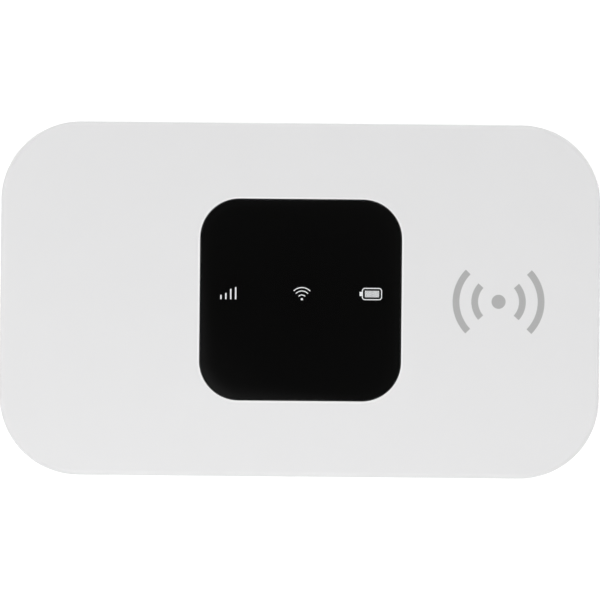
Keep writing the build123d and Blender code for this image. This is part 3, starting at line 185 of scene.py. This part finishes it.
def lit_diffuser(name, color, strength):
    """Milky diffuser lit from behind."""
    shader = Shader(name, color, 0.5, Emission_Color=LED_LIGHT, Emission_Strength=strength)
    milk = shader.noise(1.5 * MM, 2.0)
    shader.vary_color(milk, shade(color, 0.95), shade(color, 1.05))
    shader.vary_roughness(milk, 0.45, 0.55)
    grain = shader.noise(0.2 * MM, 1.0)
    shader.bump(grain, 0.002 * MM)
    return shader.material


def clear_acrylic(name):
    """Clear lens with the faint ripple of an injection-moulded sheet."""
    shader = Shader(name, (1, 1, 1), 0.02, Transmission_Weight=1.0, IOR=1.49)
    ripple = shader.noise(7 * MM, 1.0)
    shader.vary_color(ripple, (0.985, 0.985, 0.985), (1, 1, 1))
    shader.vary_roughness(ripple, 0.01, 0.03)
    shader.bump(ripple, 0.0006 * MM)
    return shader.material


def solder_mask(name, color):
    """Green mask over copper tracks that run along X in some blocks and along Y in others."""
    shader = Shader(name, color, 0.3)
    block_size = 7 * MM
    track_pitch = 0.45 * MM
    track_height = 0.02 * MM
    # each block has its own random red, which turns its tracks, and green, which leaves some bare
    block = shader.node("ShaderNodeSeparateColor")
    blocks = shader.cells(block_size, output="Color", metric="CHEBYCHEV")
    shader.link(blocks, block.inputs["Color"])
    along_y = shader.spread(block.outputs["Red"], 0, 1, 0.49, 0.51)
    tracks = shader.pick(along_y, shader.lines(track_pitch, "Y"), shader.lines(track_pitch, "X"))
    in_use = shader.spread(block.outputs["Green"], 0, 1, 0.30, 0.32)
    raised = shader.node("ShaderNodeMath", operation="MULTIPLY")
    shader.link(shader.spread(tracks, 0, 1, 0.35, 0.6), raised.inputs[0])
    shader.link(in_use, raised.inputs[1])
    shader.vary_color(raised.outputs["Value"], color, shade(color, 2.0), 0.0, 1.0)
    gloss_patches = shader.noise(3 * MM, 3.0)
    shader.vary_roughness(gloss_patches, 0.24, 0.36)
    shader.bump(raised.outputs["Value"], track_height)
    return shader.material


def foam(name, color, cell, depth):
    """Open-cell foam, with painted shade in its pores and painted light on the cell walls between them.
    """
    shader = Shader(name, color, 0.95)
    pores_with_painted_shade = shader.cells(cell)
    # painted shade: the sunken pores are darkened and the raised walls between them lightened, as light
    # would fall on them
    shader.vary_color(pores_with_painted_shade, shade(color, 0.5), shade(color, 1.4), 0.1, 0.6)
    shader.vary_roughness(shader.noise(2 * MM), 0.9, 1.0)
    shader.bump(pores_with_painted_shade, depth)
    return shader.material


def paper(name, color):
    """Matt label stock with short fibres."""
    shader = Shader(name, color, 0.65)
    fibres = shader.noise(0.25 * MM, 4.0, stretch=(1, 0.3, 1))
    shader.vary_color(fibres, shade(color, 0.95), shade(color, 1.02))
    shader.vary_roughness(fibres, 0.58, 0.72)
    shader.bump(fibres, 0.004 * MM)
    return shader.material


BLACK_ABS = (0.02, 0.02, 0.021)
BONDED_INK = (0.0002, 0.0002, 0.0002)     # seen through the lens, with no gloss of its own
LED_LIGHT = (0.97, 0.98, 1.0, 1)

MATERIALS = {
    "white_plastic": moulded("white_abs", (0.78, 0.779, 0.783), 0.38, mottle=0.004),
    # trim round the window: its colour, lighter than the white body, is a painted highlight; its higher
    # gloss is its own
    "trim_gloss": moulded("polished_white_painted_highlight", (0.87, 0.869, 0.873), 0.18, depth=0.0005 * MM, mottle=0.003),
    "grey_print": moulded("grey_ink", (0.43, 0.43, 0.43), 0.45, mottle=0.01),
    "clear_lens": clear_acrylic("clear_acrylic"),
    "black_ink": moulded("black_ink", BONDED_INK, 0.4, mottle=0.1, Specular_IOR_Level=0.0),
    "tape": moulded("foam_tape", BLACK_ABS, 0.8, depth=0.01 * MM, mottle=0.1),
    "milky_diffuser": lit_diffuser("lit_diffuser", (0.35, 0.35, 0.35), strength=0.74),
    "black_plastic": moulded("black_abs", BLACK_ABS, 0.45, mottle=0.1),
    "grey_plastic": moulded("grey_abs", (0.35, 0.36, 0.38), 0.5),
    "led": moulded("led_resin", (0.85, 0.75, 0.3), 0.3),
    "board_green": solder_mask("solder_mask", (0.012, 0.085, 0.035)),
    "chip_black": moulded("chip_epoxy", (0.025, 0.025, 0.027), 0.55, depth=0.006 * MM, mottle=0.1),
    "ceramic": moulded("ceramic", (0.45, 0.36, 0.24), 0.4, mottle=0.1),
    "tin_plate": metal("tinned_steel", (0.68, 0.68, 0.67), 0.32),
    "screw_steel": metal("black_zinc", (0.25, 0.25, 0.27), 0.35),
    "insert_brass": metal("brass", (0.75, 0.55, 0.22), 0.3),
    "gold_contact": metal("gold_flash", (0.95, 0.68, 0.28), 0.25),
    "antenna_copper": metal("plated_copper", (0.80, 0.45, 0.28), 0.35),
    "thermal_grey": moulded("gap_filler", (0.30, 0.33, 0.38), 0.7, depth=0.01 * MM, mottle=0.05),
    "foam_black": foam("foam", (0.03, 0.03, 0.03), cell=0.4 * MM, depth=0.08 * MM),
    "label_paper": paper("label_paper", (0.80, 0.80, 0.78)),
    "battery_film": moulded("battery_film", (0.06, 0.065, 0.075), 0.35, grain=2 * MM, depth=0.01 * MM),
    "battery_can": metal("aluminium", (0.80, 0.81, 0.82), 0.35),
    "stem_plastic": moulded("stem_abs", (0.05, 0.05, 0.055), 0.5),
    "card_plastic": moulded("card_pvc", (0.75, 0.77, 0.80), 0.4),
}


def dress_cad_nodes():
    """Gives each CAD node the material of its slot."""
    slot_of = {part["node"]: part["material_slot"] for part in frame["record"]["subparts"]}
    for name, obj in nodes.items():
        for slot in obj.material_slots:
            slot.material = MATERIALS[slot_of[name]]


# ---------------------------------------------------------------- pieces made here
CORNER_STEPS = 16             # steps around each rounded corner
SIDE_STEPS = 12               # steps along each straight side
SHARP_ANGLE = 35              # degrees; flatter edges are shaded smooth
NEAR_EDGE = 0.9               # shrink of the ring just inside a flat face's edge
NEAR_CENTRE = 0.02            # shrink of the small ring that closes a flat face


def rounded_outline(half_x, half_y, radius):
    """Points around a rounded rectangle about the origin, counterclockwise."""
    arcs = []
    for quarter, (sign_x, sign_y) in enumerate(((1, 1), (-1, 1), (-1, -1), (1, -1))):
        corner = Vector((sign_x * (half_x - radius), sign_y * (half_y - radius)))
        for step in range(CORNER_STEPS + 1):
            angle = math.radians(90 * (quarter + step / CORNER_STEPS))
            arcs.append(corner + radius * Vector((math.cos(angle), math.sin(angle))))
    # the step after each corner's last point is a straight side, which is divided too
    outline = []
    for count, (here, after) in enumerate(zip(arcs, arcs[1:] + arcs[:1])):
        parts = SIDE_STEPS if count % (CORNER_STEPS + 1) == CORNER_STEPS else 1
        outline += [here.lerp(after, part / parts) for part in range(parts)]
    return outline


def ringed_solid(name, node, radius, profile, waist=0.0):
    """Closed solid of rounded rings in the space of a CAD node.

    Each row of profile is a ring: its height above the node's lowest face, its inset from the
    node's sides, and how far it has shrunk to the centre. The sides are drawn in by waist
    halfway between the corners.
    """
    low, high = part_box(node)
    centre = (low + high) / 2
    half = (high - low) / 2
    bm = bmesh.new()
    rings = []
    for rise, inset, shrink in profile:
        ring = []
        for point in rounded_outline(half.x - inset, half.y - inset, radius - inset):
            draw_x = 1 - waist / half.x * (1 - (point.y / half.y) ** 2)
            draw_y = 1 - waist / half.y * (1 - (point.x / half.x) ** 2)
            x = centre.x + point.x * draw_x * shrink
            y = centre.y + point.y * draw_y * shrink
            ring.append(bm.verts.new((x, y, low.z + rise)))
        rings.append(ring)
    for lower, upper in zip(rings, rings[1:]):
        for place in range(len(lower)):
            after = (place + 1) % len(lower)
            bm.faces.new((lower[place], lower[after], upper[after], upper[place]))
    bm.faces.new(rings[0][::-1])
    bm.faces.new(rings[-1])
    mesh = bpy.data.meshes.new(name)
    bm.to_mesh(mesh)
    bm.free()
    mesh.shade_smooth()
    mesh.set_sharp_from_angle(angle=math.radians(SHARP_ANGLE))
    piece = bpy.data.objects.new(name, mesh)
    bpy.context.scene.collection.objects.link(piece)
    return piece


def stand_for(piece, node, body, slot):
    """Puts a piece in the place of a CAD node, on its body and with its material slot."""
    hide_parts(node)
    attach(piece, body)
    piece.data.materials.append(MATERIALS[slot])


def node_height(node):
    low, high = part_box(node)
    return high.z - low.z


def scaled_rows(rows, height):
    """Profile in metres from rows of share of the height, inset in mm, and shrink."""
    return [(share * height, inset * MM, shrink) for share, inset, shrink in rows]


def lens_profile():
    """Flat below, bevelled at the rim, and with a top that curves down over its outer few mm.

    The flat side reaches a hair into the ink, which is bonded to it with no air between.
    """
    top = node_height("display_lens")
    rim = top - LENS_CROWN
    rows = [(-LENS_BOND, 0, shrink) for shrink in (NEAR_CENTRE, NEAR_EDGE, 1)]
    rows.append((rim - LENS_BEVEL, 0, 1))
    for step in range(LENS_STEPS + 1):
        share = step / LENS_STEPS
        rows.append((top - LENS_CROWN * (1 - share) ** 3, LENS_BEVEL + LENS_CURVE * share, 1))
    # the flat middle starts with two narrow rings, which keep its shading flat
    inner = LENS_BEVEL + LENS_CURVE
    return rows + [(top, inner + LENS_RING, 1), (top, inner + 2 * LENS_RING, 1)]


LENS_R = 6.4 * MM
LENS_BOND = 0.004 * MM        # reach into the ink
LENS_BEVEL = 0.2 * MM
LENS_CROWN = 0.03 * MM        # drop of the rim below the middle
LENS_CURVE = 3.0 * MM         # width of the curved border
LENS_STEPS = 12
LENS_RING = 0.3 * MM
window_lens = ringed_solid("window_lens", "display_lens", LENS_R, lens_profile())
stand_for(window_lens, "display_lens", "housing", "clear_lens")

# die-cut foam: flat below, rounded shoulders, and a top that rises slowly to its middle
# each row: share of the height, inset in mm, shrink to the centre
FOAM_R = 1.9 * MM
FOAM_WAIST = 0.25 * MM
FOAM_ROWS = (
    (0.00, 0.00, NEAR_CENTRE),
    (0.00, 0.05, NEAR_EDGE),
    (0.00, 0.05, 1.00),
    (0.10, 0.01, 1.00),
    (0.40, 0.00, 1.00),
    (0.65, 0.05, 1.00),
    (0.78, 0.16, 1.00),
    (0.86, 0.40, 1.00),
    (0.92, 0.40, 0.93),
    (0.97, 0.40, 0.75),
    (1.00, 0.40, 0.45),
    (1.00, 0.40, NEAR_CENTRE),
)
foam_profile = scaled_rows(FOAM_ROWS, node_height("battery_pad"))
battery_foam = ringed_solid("battery_foam", "battery_pad", FOAM_R, foam_profile, FOAM_WAIST)
stand_for(battery_foam, "battery_pad", "cover", "foam_black")

# gap filler squeezed between the chip and the can, so that its sides bulge
FILLER_R = 0.6 * MM
FILLER_WAIST = 0.1 * MM
FILLER_ROWS = (
    (0.00, 0.35, NEAR_CENTRE),
    (0.00, 0.35, NEAR_EDGE),
    (0.00, 0.35, 1.00),
    (0.10, 0.16, 1.00),
    (0.30, 0.03, 1.00),
    (0.50, 0.00, 1.00),
    (0.70, 0.03, 1.00),
    (0.90, 0.16, 1.00),
    (1.00, 0.35, 1.00),
    (1.00, 0.35, NEAR_EDGE),
    (1.00, 0.35, NEAR_CENTRE),
)
filler_profile = scaled_rows(FILLER_ROWS, node_height("thermal_pad"))
gap_filler = ringed_solid("gap_filler", "thermal_pad", FILLER_R, filler_profile, FILLER_WAIST)
stand_for(gap_filler, "thermal_pad", "housing", "thermal_grey")

dress_cad_nodes()


# ---------------------------------------------------------------- floor, light, camera
FLOOR_SIDE = 6.0
FLOOR_DROP = 0.05 * MM        # below the lowest face of the object
FLOOR_COLOR = (0.85, 0.85, 0.85)
FLOOR_GLOW = 0.35

# grey of the sky at the sine of each elevation
SKY = (
    (0.0, 0.68),
    (0.07, 0.68),
    (0.14, 0.40),
    (0.60, 0.33),
    (0.97, 0.145),
    (0.9975, 0.108),
    (1.0, 0.074),
)
HIGH_LIGHT_AT = (315, 68)     # azimuth and elevation
HIGH_LIGHT_EDGE = (20.5, 12)  # degrees from its middle: where it starts, and where it is full
HIGH_LIGHT = 0.4

BOX_SIZE = 0.75               # side of a softbox over its distance
BOX_ELEVATION = 45

CAMERA_LENS = 150.0
CAMERA_SENSOR = 36.0
CAMERA_TURN = 0.52            # degrees
WIDEST_Z = 13.4 * MM          # where the case's outline is widest to the camera
FRAME_WIDTHS = 1.001          # width of the frame over that of the case


def make_floor():
    mesh = bpy.data.meshes.new("floor")
    half = FLOOR_SIDE / 2
    corners = [(-half, -half, 0), (half, -half, 0), (half, half, 0), (-half, half, 0)]
    mesh.from_pydata(corners, [], [(0, 1, 2, 3)])
    floor = bpy.data.objects.new("floor", mesh)
    floor.location.z = -FLOOR_DROP
    bpy.context.scene.collection.objects.link(floor)
    shader = Shader("floor_white", FLOOR_COLOR, 0.9)
    shader.bsdf.inputs["Emission Color"].default_value = (1, 1, 1, 1)
    shader.bsdf.inputs["Emission Strength"].default_value = FLOOR_GLOW
    mesh.materials.append(shader.material)


def direction(azimuth, elevation):
    """Unit vector. Azimuth 0 points to the -Y side and 90 to the +X side; degrees."""
    a = math.radians(azimuth)
    e = math.radians(elevation)
    return Vector((math.sin(a) * math.cos(e), -math.cos(a) * math.cos(e), math.sin(e)))


def softbox(name, azimuth, distance, light):
    """Square area light facing the object; light is its power in watts at one metre.

    The object gets the same light at any distance, and a near box falls off more across it.
    """
    data = bpy.data.lights.new(name, "AREA")
    data.shape = "SQUARE"
    data.size = BOX_SIZE * distance
    data.energy = light * distance ** 2
    lamp = bpy.data.objects.new(name, data)
    away = direction(azimuth, BOX_ELEVATION)
    lamp.location = away * distance
    lamp.rotation_euler = (-away).to_track_quat("-Z", "Y").to_euler()
    bpy.context.scene.collection.objects.link(lamp)


def make_world():
    """Pale surroundings, dark straight above, with one soft light high on the front left."""
    world = bpy.data.worlds.new("studio")
    bpy.context.scene.world = world
    world.use_nodes = True
    tree = world.node_tree
    ray = tree.nodes.new("ShaderNodeTexCoord").outputs["Generated"]
    height = tree.nodes.new("ShaderNodeSeparateXYZ")
    sky = tree.nodes.new("ShaderNodeValToRGB")
    tree.links.new(ray, height.inputs["Vector"])
    tree.links.new(height.outputs["Z"], sky.inputs["Fac"])
    for count, (place, grey) in enumerate(SKY):
        if count > 1:
            sky.color_ramp.elements.new(place)
        sky.color_ramp.elements[count].position = place
        sky.color_ramp.elements[count].color = (grey, grey, grey, 1)
    # the soft light: brightness grows towards its direction
    facing = tree.nodes.new("ShaderNodeVectorMath")
    facing.operation = "DOT_PRODUCT"
    facing.inputs[1].default_value = direction(*HIGH_LIGHT_AT)
    tree.links.new(ray, facing.inputs[0])
    glow = tree.nodes.new("ShaderNodeMapRange")
    glow.interpolation_type = "SMOOTHSTEP"
    glow.inputs["From Min"].default_value = math.cos(math.radians(HIGH_LIGHT_EDGE[0]))
    glow.inputs["From Max"].default_value = math.cos(math.radians(HIGH_LIGHT_EDGE[1]))
    glow.inputs["To Max"].default_value = HIGH_LIGHT
    tree.links.new(facing.outputs["Value"], glow.inputs["Value"])
    total = tree.nodes.new("ShaderNodeVectorMath")
    tree.links.new(sky.outputs["Color"], total.inputs[0])
    tree.links.new(glow.outputs["Result"], total.inputs[1])
    tree.links.new(total.outputs["Vector"], tree.nodes["Background"].inputs["Color"])


def make_camera():
    """Straight down on the device, which lies a little turned in the frame."""
    data = bpy.data.cameras.new("camera")
    data.lens = CAMERA_LENS
    data.sensor_width = CAMERA_SENSOR
    data.clip_start = 0.01
    data.clip_end = 20
    camera = bpy.data.objects.new("camera", data)
    half_width = (cad_high.x - cad_low.x) / 2 * FRAME_WIDTHS
    distance = half_width * data.lens / (data.sensor_width / 2)
    camera.location = (0, 0, WIDEST_Z + distance)
    camera.rotation_euler = (0, 0, math.radians(CAMERA_TURN))
    bpy.context.scene.collection.objects.link(camera)
    bpy.context.scene.camera = camera


make_floor()
make_world()
softbox("front_light", azimuth=0, distance=0.25, light=2.90)
softbox("rear_light", azimuth=180, distance=1.20, light=2.85)
softbox("left_light", azimuth=270, distance=0.50, light=2.98)
softbox("right_light", azimuth=90, distance=0.80, light=2.76)
make_camera()

scene = bpy.context.scene
scene.view_settings.view_transform = "Standard"
scene.view_settings.look = "None"
